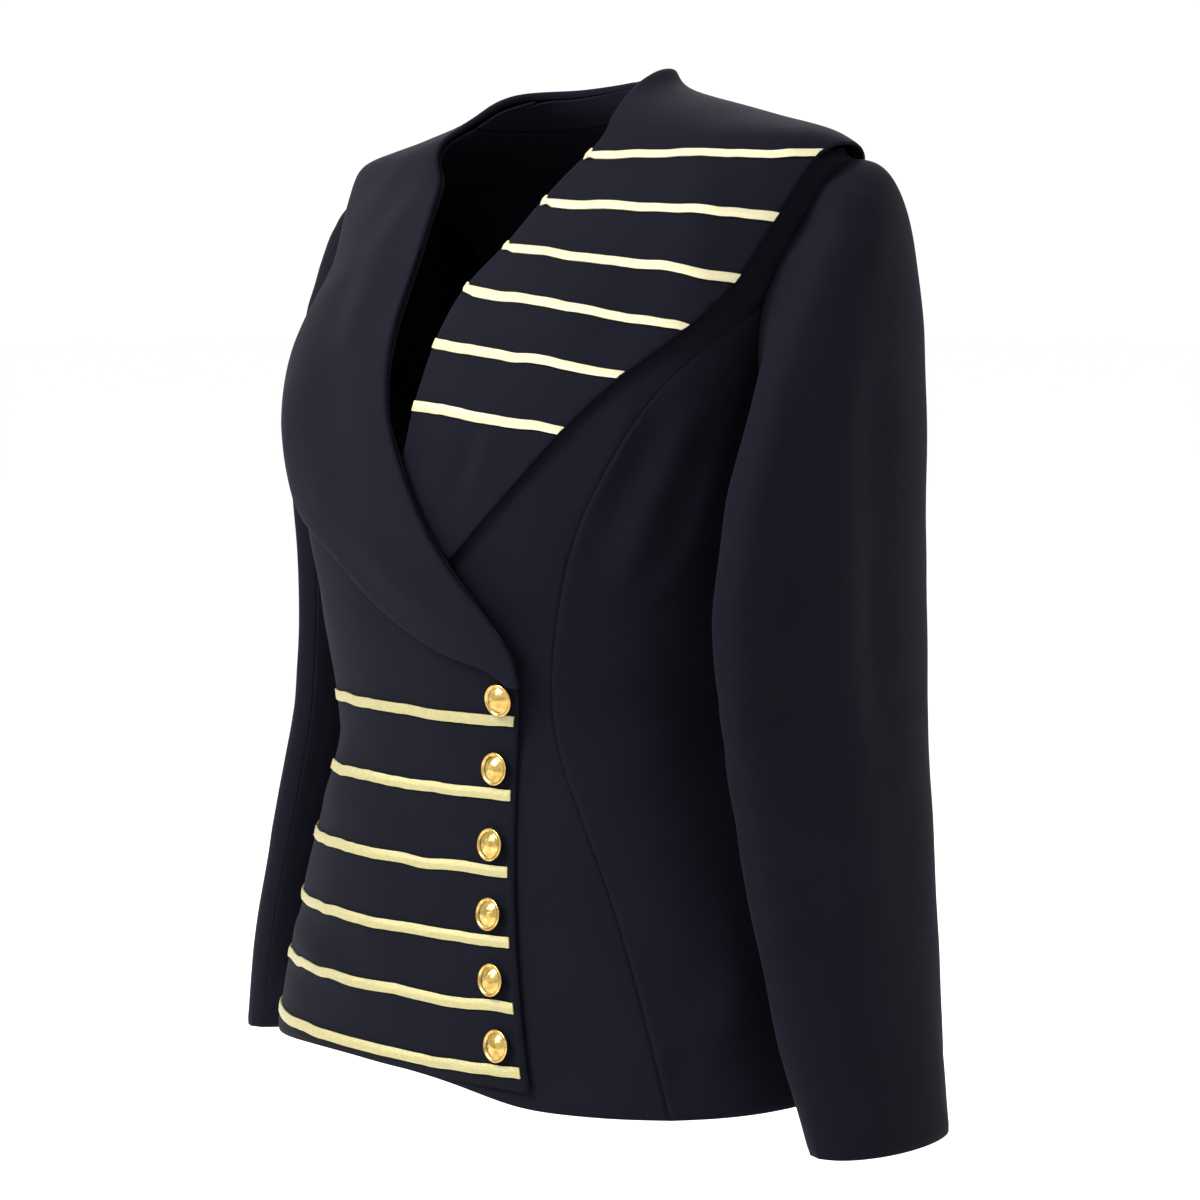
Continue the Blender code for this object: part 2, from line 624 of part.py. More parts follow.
def at_fraction(grid, place):
    """Points of each column of a grid at a fractional row, column by column."""
    low = np.clip(np.floor(place).astype(int), 0, grid.shape[0] - 2)
    share = (place - low)[:, None]
    column = np.arange(grid.shape[1])
    return grid[low, column] * (1 - share) + grid[low + 1, column] * share


def lay_braid(name, lines, normals, side=1):
    """A braid from lines of points along the cloth, moved out. side -1 mirrors it."""
    lines = np.stack(lines)
    out = np.stack(normals)
    out = out / np.linalg.norm(out, axis=-1, keepdims=True)
    way = np.array((side, 1, 1))
    inner = (lines + out * BRAID_GAP) * way
    outer = (lines + out * (BRAID_GAP + BRAID_THICKNESS)) * way
    wall(name, inner, outer, GOLD_BRAID)


def make_front_braids(front, side_front):
    """Six braids across the right front, each over both panels to the side seam."""
    rows = side_front[0].shape[0]
    inner = np.concatenate((front[0][:rows], side_front[0]), axis=1)
    outer = np.concatenate((front[1][:rows], side_front[1]), axis=1)
    for grid in (inner, outer):
        grid[:, 0] += (grid[:, 1] - grid[:, 0]) * BRAID_FROM_EDGE
    share = np.linspace(0, 1, outer.shape[1])
    for index, (at_edge, at_side) in enumerate(FRONT_BRAIDS):
        middle = (at_edge + (at_side - at_edge) * share) * CM
        lines = []
        normals = []
        for side in (-1, 1):
            height = middle + side * BRAID_WIDTH / 2
            place = np.array([np.interp(z, column[:, 2], np.arange(rows))
                              for z, column in zip(height, outer.transpose(1, 0, 2))])
            lines.append(at_fraction(outer, place))
            normals.append(at_fraction(outer - inner, place))
        lay_braid(f"front_braid_{index + 1}", lines, normals, side=-1)


def make_lapel_braids(inner, outer):
    """Six braids across the left lapel, from its rolled edge to its free edge."""
    inner = inner[:, ROLL_STEPS - 1:]
    outer = outer[:, ROLL_STEPS - 1:]
    share = np.linspace(0, 1, outer.shape[1])
    sag_shape = np.sin(np.pi * share**SAG_SKEW)
    for index, (row, sag) in enumerate(LEFT_LAPEL_BRAIDS):
        middle = round(row * MESH_ROWS_PER_ROW)
        spacing = np.linalg.norm(outer[middle + 1] - outer[middle - 1], axis=-1) / 2
        spacing = np.maximum(spacing, BRAID_WIDTH)
        lines = []
        normals = []
        for side in (-1, 0, 1):
            place = middle + (side * BRAID_WIDTH / 2 - sag * CM * sag_shape) / spacing
            lines.append(at_fraction(outer, place))
            normals.append(at_fraction(outer - inner, place))
        lay_braid(f"lapel_braid_{index + 1}", lines, normals)


def make_buttons():
    """Six domed buttons down the closing edge, each on a shank seated on the right front."""
    turns = np.linspace(0, 2 * np.pi, BUTTON_SIDES, endpoint=False)
    levels = np.linspace(CLOSING_EDGES[0][0], CLOSING_EDGES[-1][0], SAMPLES)
    for index, (height, _) in enumerate(FRONT_BRAIDS):
        angle = right_edge(levels) + BUTTON_FROM_EDGE
        heights = body_form(angle, levels)[:, 2] + right_front_rise(angle, levels)
        level = np.interp((height + BUTTON_ABOVE_BRAID) * CM, heights, levels)
        angle = right_edge(level) + BUTTON_FROM_EDGE
        seat = on_body(angle, level, right_front_lift(angle, level) + CLOTH + BUTTON_GAP)
        seat = (seat + np.array((0, 0, right_front_rise(angle, level)))) * np.array((-1, 1, 1))
        out = body_normal(angle, level) * np.array((-1, 1, 1))
        across = np.cross(out, (0, 0, 1))
        across = across / np.linalg.norm(across)
        up = np.cross(across, out)
        points = [seat]
        for radius, lift in BUTTON_PROFILE:
            ring = np.cos(turns)[:, None] * across + np.sin(turns)[:, None] * up
            points.extend(seat + ring * radius * MM + out * lift * MM)
        points.append(seat + out * BUTTON_TOP * MM)
        faces = []
        last = len(points) - 1
        for side in range(BUTTON_SIDES):
            there = (side + 1) % BUTTON_SIDES
            faces.append([0, 1 + there, 1 + side])
            for ring in range(len(BUTTON_PROFILE) - 1):
                low = 1 + ring * BUTTON_SIDES
                high = low + BUTTON_SIDES
                faces.append([low + side, low + there, high + there, high + side])
            top = 1 + (len(BUTTON_PROFILE) - 1) * BUTTON_SIDES
            faces.append([top + side, top + there, last])
        add_mesh(f"button_{index + 1}", points, faces, BUTTON_BRASS)


def clear_scene():
    for thing in list(bpy.data.objects):
        bpy.data.objects.remove(thing)


def main():
    clear_scene()
    front, side_front = make_body()
    make_stands()
    make_sleeves()
    lapel = make_lapels()
    make_front_braids(front, side_front)
    make_lapel_braids(*lapel)
    make_buttons()


main()
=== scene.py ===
# %% [markdown]
# # A military-style blazer
# A fitted black jacket, filled out as when it is worn. This lesson dresses its plain model: smooth
# cloth with seams and creases, woven gold braid and domed buttons. Each step says first what the
# piece is on the real garment and why it is made in the way it is.

# %% Start from the plain model
import math
import bpy
import bmesh
import numpy as np
from mathutils import Matrix, Quaternion, Vector, kdtree, noise


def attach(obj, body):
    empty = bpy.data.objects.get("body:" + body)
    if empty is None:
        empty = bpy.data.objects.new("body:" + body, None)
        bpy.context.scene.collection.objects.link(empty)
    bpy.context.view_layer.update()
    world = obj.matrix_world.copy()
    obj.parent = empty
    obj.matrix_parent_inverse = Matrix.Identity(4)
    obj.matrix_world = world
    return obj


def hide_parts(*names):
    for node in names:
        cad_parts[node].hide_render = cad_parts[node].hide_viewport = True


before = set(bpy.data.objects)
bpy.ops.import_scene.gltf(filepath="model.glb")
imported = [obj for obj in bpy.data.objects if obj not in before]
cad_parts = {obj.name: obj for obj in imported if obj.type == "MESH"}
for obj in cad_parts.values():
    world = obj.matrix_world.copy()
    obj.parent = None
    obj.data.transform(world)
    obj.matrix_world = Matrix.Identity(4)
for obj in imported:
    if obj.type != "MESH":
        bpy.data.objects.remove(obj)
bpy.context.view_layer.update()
bpy.ops.object.select_all(action="DESELECT")
MM = 0.001
CM = 0.01

# %% [markdown]
# The camera stands off the wearer's left front, at the height of the chest, and looks slightly down.
# A long lens keeps the upright lines nearly straight. It comes first, so that every piece can be
# judged against the photograph as soon as it is made.

# %% Camera
CAMERA_PLACE = Vector((1.4496, -1.4496, -0.097))
CAMERA_BEARING = math.radians(45)
CAMERA_TURN = math.radians(-0.389)      # sideways, so that the neck lands left of the middle
CAMERA_DIP = math.radians(5.82)
CAMERA_LENS = 97.2
ahead = Vector((-math.sin(CAMERA_BEARING), math.cos(CAMERA_BEARING), 0))
across = Vector((math.cos(CAMERA_BEARING), math.sin(CAMERA_BEARING), 0))
level_look = ahead * math.cos(CAMERA_TURN) - across * math.sin(CAMERA_TURN)
look = level_look * math.cos(CAMERA_DIP) - Vector((0, 0, 1)) * math.sin(CAMERA_DIP)
bpy.ops.object.camera_add(location=CAMERA_PLACE, rotation=look.to_track_quat("-Z", "Y").to_euler())
camera = bpy.context.object
camera.name = "camera"
camera.data.sensor_width = 36
camera.data.lens = CAMERA_LENS
bpy.context.scene.camera = camera
print("camera looks along", tuple(round(v, 3) for v in look))

# %% [markdown]
# ## Finishes
# Cloth, braid and gilt are each one shader with three things that vary over the surface: its
# colour, its roughness and a bump. A few helpers add the nodes, so that each finish below reads as
# a short recipe. Photographs of cloth would be quicker, but a recipe stays sharp at any distance.

# %% Helpers for node materials
def start_material(name, **numbers):
    """A new material, its nodes and its shader, with some of the shader's sockets set."""
    made = bpy.data.materials.new(name)
    made.use_nodes = True
    shader = made.node_tree.nodes["Principled BSDF"]
    for socket, value in numbers.items():
        shader.inputs[socket.replace("_", " ")].default_value = value
    return made, made.node_tree, shader


def add_node(tree, kind, feeds=(), **settings):
    """A new node. feeds links its inputs, and settings are its sockets' or its own values."""
    node = tree.nodes.new(kind)
    for key, value in settings.items():
        socket = key.replace("_", " ")
        if socket in node.inputs:
            node.inputs[socket].default_value = value
        else:
            setattr(node, key, value)
    for socket, source in dict(feeds).items():
        tree.links.new(source, node.inputs[socket])
    return node


def calculate(tree, operation, *terms):
    """The result of a Math node. Each term is a number or another node's output."""
    node = add_node(tree, "ShaderNodeMath", operation=operation)
    for socket, term in zip(node.inputs, terms):
        if isinstance(term, bpy.types.NodeSocket):
            tree.links.new(term, socket)
        else:
            socket.default_value = term
    return node.outputs["Value"]


def map_range(tree, value, low, high, to_low=0.0, to_high=1.0):
    node = add_node(tree, "ShaderNodeMapRange", {"Value": value}, From_Min=low, From_Max=high,
                    To_Min=to_low, To_Max=to_high)
    return node.outputs["Result"]


def colour_ramp(tree, factor, stops):
    ramp = add_node(tree, "ShaderNodeValToRGB", {"Fac": factor})
    for element, (place, colour) in zip(ramp.color_ramp.elements, stops):
        element.position = place
        element.color = (*colour, 1)
    return ramp.outputs["Color"]


def object_place(tree):
    return add_node(tree, "ShaderNodeTexCoord").outputs["Object"]


def link_shader(tree, shader, colour, roughness, height, strength, depth):
    """Links a shader's colour and roughness, and a bump of some depth that follows a height."""
    bump = add_node(tree, "ShaderNodeBump", {"Height": height}, Strength=strength, Distance=depth)
    tree.links.new(colour, shader.inputs["Base Color"])
    tree.links.new(roughness, shader.inputs["Roughness"])
    tree.links.new(bump.outputs["Normal"], shader.inputs["Normal"])


print("material helpers ready")

# %% [markdown]
# The cloth is a black wool gabardine: a fine diagonal twill with a soft nap that catches light at
# the edges of each fold. The twill is a wave texture on Object coordinates, which run on from panel
# to panel, and a finer noise breaks it up into fibres. The sheen of the nap is a number on the
# shader, so it is set on its socket. Sleeves and collar are cut on other slants of the cloth.

# %% Black wool cloth
SHEEN = 0.02
SHEEN_TINT = (0.62, 0.66, 0.85, 1)
RIB_SHARE = 0.55        # how far the ribs count beside the fibres
PATCH_SHARE = 0.5       # and the large faint patches
BODY_DARK = (0.0012, 0.0013, 0.0026)
BODY_LIGHT = (0.0056, 0.0058, 0.0116)
# The light end of the collar's colour is paler than the body's: painted light, for the lapels that catch
# more light than the front.
COLLAR_PAINTED_LIGHT = (0.0064, 0.0068, 0.0132)


def make_wool(name, dark, light, twill_angle):
    """Twill with a soft nap. twill_angle is the slant of its ribs, in degrees."""
    wool, tree, shader = start_material(name, Sheen_Weight=SHEEN, Sheen_Roughness=0.5,
                                        Sheen_Tint=SHEEN_TINT, IOR=1.14)
    place = object_place(tree)
    slant = add_node(tree, "ShaderNodeMapping", {"Vector": place},
                     Rotation=(0, math.radians(twill_angle), 0)).outputs["Vector"]
    ribs = add_node(tree, "ShaderNodeTexWave", {"Vector": slant}, bands_direction="Z", Scale=480.0,
                    Distortion=1.2, Detail=2.0, Detail_Scale=3.0).outputs["Fac"]
    fibres = add_node(tree, "ShaderNodeTexNoise", {"Vector": place}, Scale=1900.0, Detail=3.0,
                      Roughness=0.7).outputs["Fac"]
    patches = add_node(tree, "ShaderNodeTexNoise", {"Vector": place}, Scale=22.0, Detail=4.0,
                       Roughness=0.6).outputs["Fac"]
    weave = calculate(tree, "MULTIPLY_ADD", ribs, RIB_SHARE, fibres)
    shade = calculate(tree, "MULTIPLY_ADD", patches, PATCH_SHARE, weave)
    colour = colour_ramp(tree, map_range(tree, shade, 0.55, 1.45), ((0.0, dark), (1.0, light)))
    roughness = map_range(tree, patches, 0, 1, 0.7, 0.88)
    link_shader(tree, shader, colour, roughness, weave, strength=0.35, depth=0.35 * MM)
    return wool


body_wool = make_wool("body_wool", BODY_DARK, BODY_LIGHT, 38)
# The collar's wool is a lighter copy of the body's, with painted light on the lapels.
collar_wool = {"left": make_wool("left_collar_wool", BODY_DARK, COLLAR_PAINTED_LIGHT, 60),
               "right": make_wool("right_collar_wool", BODY_DARK, COLLAR_PAINTED_LIGHT, -60)}
sleeve_wool = {"left": make_wool("left_sleeve_wool", BODY_DARK, BODY_LIGHT, 30),
               "right": make_wool("right_sleeve_wool", BODY_DARK, BODY_LIGHT, -30)}
wools = (body_wool, *collar_wool.values(), *sleeve_wool.values())
print("cloth finishes:", *[wool.name for wool in wools])

# %% [markdown]
# The braid is woven from metal thread over a cotton core: herringbone ribs that run to a ridge down its
# middle. Its pattern follows the strip, so it reads the strip's own UV map, with U along it in
# centimetres and V from edge to edge. The one braid is given paler colours on the lapel, as painted light
# where it catches more light, and darker ones on the front, as painted shade.

# %% Gold braid
RIBS_PER_CM = 7.5
RIB_SLANT = 0.62        # centimetres along the strip for each width across it
THREAD_SHARE = 1.2      # how far the threads count beside the ribs


def make_braid_finish(name, dark, light, metallic):
    gold, tree, shader = start_material(name, Metallic=metallic)
    strip = add_node(tree, "ShaderNodeUVMap", uv_map="strip").outputs["UV"]
    split = add_node(tree, "ShaderNodeSeparateXYZ", {"Vector": strip})
    from_middle = calculate(tree, "ABSOLUTE", calculate(tree, "SUBTRACT", split.outputs["Y"], 0.5))
    along = calculate(tree, "MULTIPLY_ADD", from_middle, RIB_SLANT, split.outputs["X"])
    wave = calculate(tree, "SINE", calculate(tree, "MULTIPLY", along, 2 * math.pi * RIBS_PER_CM))
    ribs = map_range(tree, wave, -1, 1, 0, 0.6)
    threads = add_node(tree, "ShaderNodeTexNoise", {"Vector": object_place(tree)}, Scale=700.0,
                       Detail=3.0, Roughness=0.8).outputs["Fac"]
    weave = calculate(tree, "MULTIPLY_ADD", threads, THREAD_SHARE, ribs)
    colour = colour_ramp(tree, map_range(tree, weave, 0.3, 1.5), ((0.0, dark), (1.0, light)))
    roughness = map_range(tree, weave, 0, 1, 0.55, 0.32)
    link_shader(tree, shader, colour, roughness, weave, strength=0.7, depth=0.4 * MM)
    return gold


# Painted light and shade: paler colours for the lapel's braid, darker ones for the front's.
lapel_gold = make_braid_finish("lapel_gold", (0.33, 0.29, 0.15), (0.68, 0.635, 0.42), 0.2)
front_gold = make_braid_finish("front_gold", (0.17, 0.145, 0.055), (0.60, 0.545, 0.255), 0.25)
print("braid finishes:", lapel_gold.name, front_gold.name)

# %% [markdown]
# The buttons are stamped brass with a bright gilt finish. Its colour is darkened in patches along a
# noise, as painted shade placed at random, and the polish varies a little with it.

# %% Gilt brass
# Darker gilt in the noise's patches: painted shade.
PAINTED_SHADE_GILT = (0.36, 0.22, 0.05)
BRIGHT_GILT = (0.72, 0.52, 0.17)
gilt, tree, shader = start_material("gilt", Metallic=1.0)
spots = add_node(tree, "ShaderNodeTexNoise", {"Vector": object_place(tree)}, Scale=260.0,
                 Detail=4.0).outputs["Fac"]
gilt_colour = colour_ramp(tree, spots, ((0.3, PAINTED_SHADE_GILT), (0.7, BRIGHT_GILT)))
polish = map_range(tree, spots, 0, 1, 0.14, 0.26)
link_shader(tree, shader, gilt_colour, polish, spots, strength=0.08, depth=0.2 * MM)
print("button finish:", gilt.name)

# %% [markdown]
# ## Cloth
# A panel of a jacket is one sheet of cloth, shaped by its seams. Each plain panel is a closed wall, so
# its outer skin is lifted off, smoothed by subdivision, creased along listed lines, pressed in along its
# edges where the seams pull, and then given its thickness again. Mesh code does this, because every panel
# needs the same steps on a free-form sheet. First come the lines down the middle of the body and of each
# sleeve: a wall's outer skin is the one that looks away from them.

# %% Middles of the body and the sleeves
SLEEVE_DEPTHS = (0.25, 0.38, 0.606)     # below the neck, where the sleeve's line bends
SLEEVE_OUT = (0.197, 0.205, 0.259)      # and how far out it is there


def torso_middle(z):
    return Vector((0.0, -0.012, z))


def left_sleeve_middle(z):
    return Vector((float(np.interp(-z, SLEEVE_DEPTHS, SLEEVE_OUT)), 0.004, z))


def right_sleeve_middle(z):
    return Vector((-left_sleeve_middle(z).x, 0.02, z))


print("left sleeve's middle at the elbow:", tuple(round(v, 3) for v in left_sleeve_middle(-0.38)))

# %% [markdown]
# A wall has an outer skin, an inner skin and a narrow rim. Its sharp edges part them, so walking
# from face to face without crossing a sharp edge gathers one skin. The two largest are the outer
# and the inner one. The plain model is triangles, which are joined in pairs, because subdivision
# smooths quads best.

# %% Lift the outer skin of a plain panel
CORNER = math.radians(62)       # a sharper edge than this is the rim of the wall
QUAD_SKEW = math.radians(80)    # two triangles that would make a more slanted quad stay apart
MERGE = 0.02 * MM


def skins_of(shell, corner):
    """The faces of a wall in patches that no sharp edge divides, largest last."""
    left = set(shell.faces)
    patches = []
    while left:
        first = left.pop()
        patch = [first]
        waiting = [first]
        while waiting:
            for edge in waiting.pop().edges:
                if len(edge.link_faces) != 2 or edge.calc_face_angle() > corner:
                    continue
                for other in edge.link_faces:
                    if other in left:
                        left.remove(other)
                        patch.append(other)
                        waiting.append(other)
        patches.append(patch)
    return sorted(patches, key=lambda faces: sum(face.calc_area() for face in faces))


def facing_out(faces, middle):
    """Positive where faces look away from the middle."""
    total = 0.0
    for face in faces:
        centre = face.calc_center_median()
        total += face.normal.dot(centre - middle(centre.z)) * face.calc_area()
    return total


def lift_skin(node, name, middle, corner=CORNER):
    """A new piece with the outer skin of a plain node, in quads."""
    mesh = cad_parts[node].data.copy()
    mesh.name = name
    mesh.materials.clear()
    shell = bmesh.new()
    shell.from_mesh(mesh)
    bmesh.ops.remove_doubles(shell, verts=shell.verts, dist=MERGE)
    shell.normal_update()
    keep = set(max(skins_of(shell, corner)[-2:], key=lambda faces: facing_out(faces, middle)))
    bmesh.ops.delete(shell, geom=[face for face in shell.faces if face not in keep], context="FACES")
    bmesh.ops.join_triangles(shell, faces=shell.faces, angle_face_threshold=math.pi,
                             angle_shape_threshold=QUAD_SKEW)
    triangles = sum(len(face.verts) == 3 for face in shell.faces)
    print(name, "skin:", len(shell.faces), "faces,", triangles, "of them triangles")
    for face in shell.faces:
        face.smooth = True
    shell.to_mesh(mesh)
    shell.free()
    piece = bpy.data.objects.new(name, mesh)
    bpy.context.scene.collection.objects.link(piece)
    return piece


# %% [markdown]
# The shaping below works on all points of a piece at once, as rows of x, y and z. It also needs to
# know how far each point is from the sheet's edge, where the seams are.

# %% Apply modifiers and read or write points
def choose(piece):
    bpy.ops.object.select_all(action="DESELECT")
    piece.select_set(True)
    bpy.context.view_layer.objects.active = piece


def finish_with(piece, kind, **settings):
    """Adds one modifier to a piece and applies it."""
    choose(piece)
    modifier = piece.modifiers.new(kind.lower(), kind)
    for key, value in settings.items():
        setattr(modifier, key, value)
    bpy.ops.object.modifier_apply(modifier=modifier.name)


def points_of(piece, field="co"):
    flat = np.empty(len(piece.data.vertices) * 3)
    piece.data.vertices.foreach_get(field, flat)
    return flat.reshape(-1, 3)


def normals_of(piece):
    return points_of(piece, "normal")


def move_points(piece, points):
    piece.data.vertices.foreach_set("co", points.reshape(-1))
    piece.data.update()


def rim_distance(piece):
    """How far each point of a sheet is from the sheet's nearest edge."""
    edges = piece.data.edges
    uses = np.zeros(len(edges), int)
    loop_edges = np.empty(len(piece.data.loops), int)
    piece.data.loops.foreach_get("edge_index", loop_edges)
    np.add.at(uses, loop_edges, 1)
    rim = {index for edge in edges if uses[edge.index] == 1 for index in edge.vertices}
    tree = kdtree.KDTree(len(rim))
    points = points_of(piece)
    for index in rim:
        tree.insert(points[index], index)
    tree.balance()
    return np.array([tree.find(point)[2] for point in points])


def stand_for(piece, node):
    """Says which body a piece moves with and which plain node it takes the place of."""
    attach(piece, "root")
    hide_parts(node)


print("point helpers ready")

# %% [markdown]
# Creases are soft and uneven. Each is a row of places on the cloth, with a width and a height that
# is negative for a trough. The cloth moves along its own normal, by a bell curve across the crease
# that fades out at its two ends. A slow noise adds the unevenness that cloth has from its handling.

# %% Crease and ripple helpers
CREASE_DEPTH = 1.5          # raises every crease of the tables below
CREASE_END = 0.12           # how far into its fade a crease starts and ends
CREASE_BLUNTNESS = 0.8
RIPPLE_SIZE = 45 * MM
RIPPLE_SEED = Vector((3.0, 0, 0))


def crease(points, normals, width, height, path):
    """Moves points by a soft ridge or trough along a path. Its measures are in millimetres."""
    path = np.array(path) * MM
    runs = path[1:] - path[:-1]
    lengths = np.linalg.norm(runs, axis=1)
    travelled = np.concatenate(([0.0], np.cumsum(lengths)))
    nearest = np.full(len(points), np.inf)
    along = np.zeros(len(points))
    for start, run, length, before in zip(path, runs, lengths, travelled):
        t = np.clip((points - start) @ run / length**2, 0, 1)
        away = np.linalg.norm(points - (start + t[:, None] * run), axis=1)
        closer = away < nearest
        nearest[closer] = away[closer]
        along[closer] = before + t[closer] * length
    share = CREASE_END + (1 - 2 * CREASE_END) * along / travelled[-1]
    fade = np.sin(np.pi * np.clip(share, 0, 1)) ** CREASE_BLUNTNESS
    move = height * CREASE_DEPTH * MM * fade * np.exp(-(nearest / (width * MM)) ** 2)
    return points + normals * move[:, None]


def ripple(points, normals, height):
    """Slow unevenness, of a height in millimetres."""
    move = np.array([noise.noise(Vector(point) / RIPPLE_SIZE + RIPPLE_SEED) for point in points])
    return points + normals * (move * height * MM)[:, None]


def mirrored_creases(rows):
    return tuple((width, height, tuple((-x, y, z) for x, y, z in path)) for width, height, path in rows)


print("crease helpers ready")

# %% [markdown]
# The creases below were placed to match the photograph. On the front they are the drag lines from the
# armhole to the bust and the folds over the hip, on the sleeve the long soft bands and the wrinkles
# inside the elbow. The hidden sides get similar ones.

# %% Table of creases in millimetres: width, height, then the places it passes
LEFT_BODY_CREASES = (
    (13, -2.2, ((152, -83, -179), (144, -93, -207), (133, -103, -239), (125, -108, -266))),
    (10, 1.8, ((160, -68, -187), (153, -78, -213), (144, -89, -242), (134, -96, -275))),
    (9, 1.5, ((141, -97, -184), (133, -105, -208), (124, -114, -233))),
    (9, -1.6, ((163, -58, -196), (158, -65, -225), (151, -73, -251), (144, -80, -272))),
    (9, 1.5, ((163, -49, -214), (154, -58, -262), (147, -71, -278), (141, -80, -289))),
    (16, 2.6, ((181, -50, -499), (187, -54, -520), (188, -70, -543), (175, -93, -552))),
    (9, -1.8, ((179, -89, -555), (177, -93, -563), (178, -95, -570))),
    (14, -1.8, ((126, -108, -443), (135, -107, -466), (147, -105, -494))),
    (16, -1.6, ((99, -114, -350), (118, -100, -357), (137, -77, -355), (147, -45, -346))),
)
RIGHT_FRONT_CREASES = (
    (10, -1.6, ((-149, -107, -508), (-95, -138, -507), (-59, -146, -512))),
    (9, 1.4, ((-149, -110, -522), (-100, -140, -526), (-60, -147, -530))),
    (10, -1.5, ((-147, -118, -546), (-96, -143, -547), (-60, -150, -549))),
    (13, -1.2, ((-140, -90, -390), (-60, -132, -389), (-17, -137, -380))),
    (13, 1.2, ((-140, -100, -430), (-89, -127, -430), (-44, -139, -433), (4, -140, -429))),
)
BACK_CREASES = (
    (18, -2.0, ((-130, 75, -385), (-60, 88, -378), (20, 93, -384))),
    (14, 1.6, ((-20, 93, -352), (60, 90, -345), (130, 70, -352))),
    (13, -1.6, ((110, 80, -410), (50, 95, -404), (-30, 96, -410))),
    (16, 1.8, ((150, 60, -240), (100, 100, -280), (50, 100, -320))),
    (16, 1.8, ((-150, 60, -230), (-100, 100, -270), (-50, 100, -310))),
)
COLLAR_LEFT_CREASES = (
    (9, -2.0, ((61, -146, -191), (56, -149, -209), (49, -152, -228))),
    (10, 1.6, ((71, -142, -185), (66, -146, -207), (60, -150, -228))),
    (16, 1.8, ((148, -42, -33), (155, -52, -59), (156, -63, -91))),
    (18, -1.6, ((132, -81, -97), (133, -98, -132), (110, -124, -172))),
)
COLLAR_RIGHT_CREASES = (
    (18, 2.2, ((-74, -67, -41), (-79, -96, -85), (-65, -134, -134), (-44, -156, -176))),
    (20, -2.2, ((-103, -117, -116), (-66, -145, -152), (-53, -161, -194), (-34, -166, -235))),
    (14, 1.6, ((-34, -166, -248), (1, -164, -276), (34, -158, -298), (67, -148, -320))),
)
SLEEVE_CREASES = (
    (16, 3.0, ((206, -14, -80), (214, -42, -131), (215, -61, -182), (211, -73, -239),
               (207, -78, -297), (209, -77, -355), (218, -74, -412), (232, -72, -469))),
    (14, -2.6, ((228, -48, -177), (226, -54, -228), (223, -53, -286), (224, -54, -344),
                (227, -54, -379))),
    (24, 2.4, ((232, -10, -91), (237, -20, -172), (233, -16, -259), (232, -7, -347), (246, -11, -434),
               (265, -21, -519))),
    (18, -1.8, ((239, 0, -114), (238, 4, -201), (230, 16, -291), (236, 16, -379))),
    (7, -1.6, ((196, -79, -344), (213, -73, -351), (220, -64, -355), (226, -51, -357))),
    (7, -1.4, ((197, -76, -370), (213, -74, -373), (223, -62, -378))),
    (8, -1.5, ((207, -75, -415), (219, -75, -425), (229, -68, -431))),
    (11, -1.2, ((233, 1, -342), (233, 29, -351), (226, 64, -349))),
    (11, 1.2, ((237, 5, -384), (238, 33, -396), (229, 66, -394))),
    (14, -2.4, ((201, -8, -60), (201, -8, -71), (203, -12, -90))),
    (15, 2.4, ((212, 10, -45), (208, 5, -53), (226, -3, -69))),
)
CUFF_LINE = ((247, -72, -548), (253, -69, -553), (257, -66, -558), (271, -47, -565), (277, -21, -566),
             (276, 13, -567), (268, 45, -566), (250, 58, -566))
print("creases:", sum(len(rows) for rows in (LEFT_BODY_CREASES, RIGHT_FRONT_CREASES, BACK_CREASES,
                                              COLLAR_LEFT_CREASES, COLLAR_RIGHT_CREASES, SLEEVE_CREASES)))

# %% [markdown]
# Two neighbouring panels of the plain model are a third of a millimetre apart. On the jacket a seam
# closes that gap, so each sheet's edge is moved out by a little more than half of it. Subdivision
# would round the sheet's corners and open the seams there, so the corners are marked to stay sharp.

# %% Close the seams and keep the corners
SEAM_CLOSE = 0.22 * MM
SHARP_TURN = math.radians(150)      # two edges that meet at a smaller angle make a corner


def edge_ways(piece):
    """For each point on a sheet's edge, the direction that leads straight off the sheet."""
    shell = bmesh.new()
    shell.from_mesh(piece.data)
    ways = {}
    for vert in shell.verts:
        if not vert.is_boundary:
            continue
        inner = [edge.other_vert(vert) for edge in vert.link_edges if not edge.is_boundary]
        if not inner:       # a corner, where the sheet's two edges count instead
            inner = [edge.other_vert(vert) for edge in vert.link_edges]
        way = sum((vert.co - other.co for other in inner), Vector())
        ways[vert.index] = way.normalized()
    shell.free()
    return ways


def close_edges(piece):
    for index, way in edge_ways(piece).items():
        piece.data.vertices[index].co += way * SEAM_CLOSE


def keep_corners(piece):
    """Marks the sheet's corners, so that subdivision leaves them sharp."""
    shell = bmesh.new()
    shell.from_mesh(piece.data)
    corners = 0
    marks = shell.verts.layers.float.new("crease_vert")
    for vert in shell.verts:
        rim = [edge.other_vert(vert).co - vert.co for edge in vert.link_edges if edge.is_boundary]
        if len(rim) == 2 and rim[0].angle(rim[1]) < SHARP_TURN:
            vert[marks] = 1.0
            corners += 1
    shell.to_mesh(piece.data)
    shell.free()
    return corners


print("seam helpers ready")

# %% [markdown]
# A sleeve is set into the armhole with a seam allowance that goes on under the body's cloth. Without
# it, light would show through where the sleeve's head curves away from the armhole. Two rows of
# cloth are added past the sleeve's top edge: one straight on, and one that turns outwards.

# %% Seam allowance at a sleeve's head
SLEEVE_ALLOWANCE = ((2.5 * MM, 0.0), (1.0 * MM, 7.0 * MM))  # each row: on past the edge, outwards


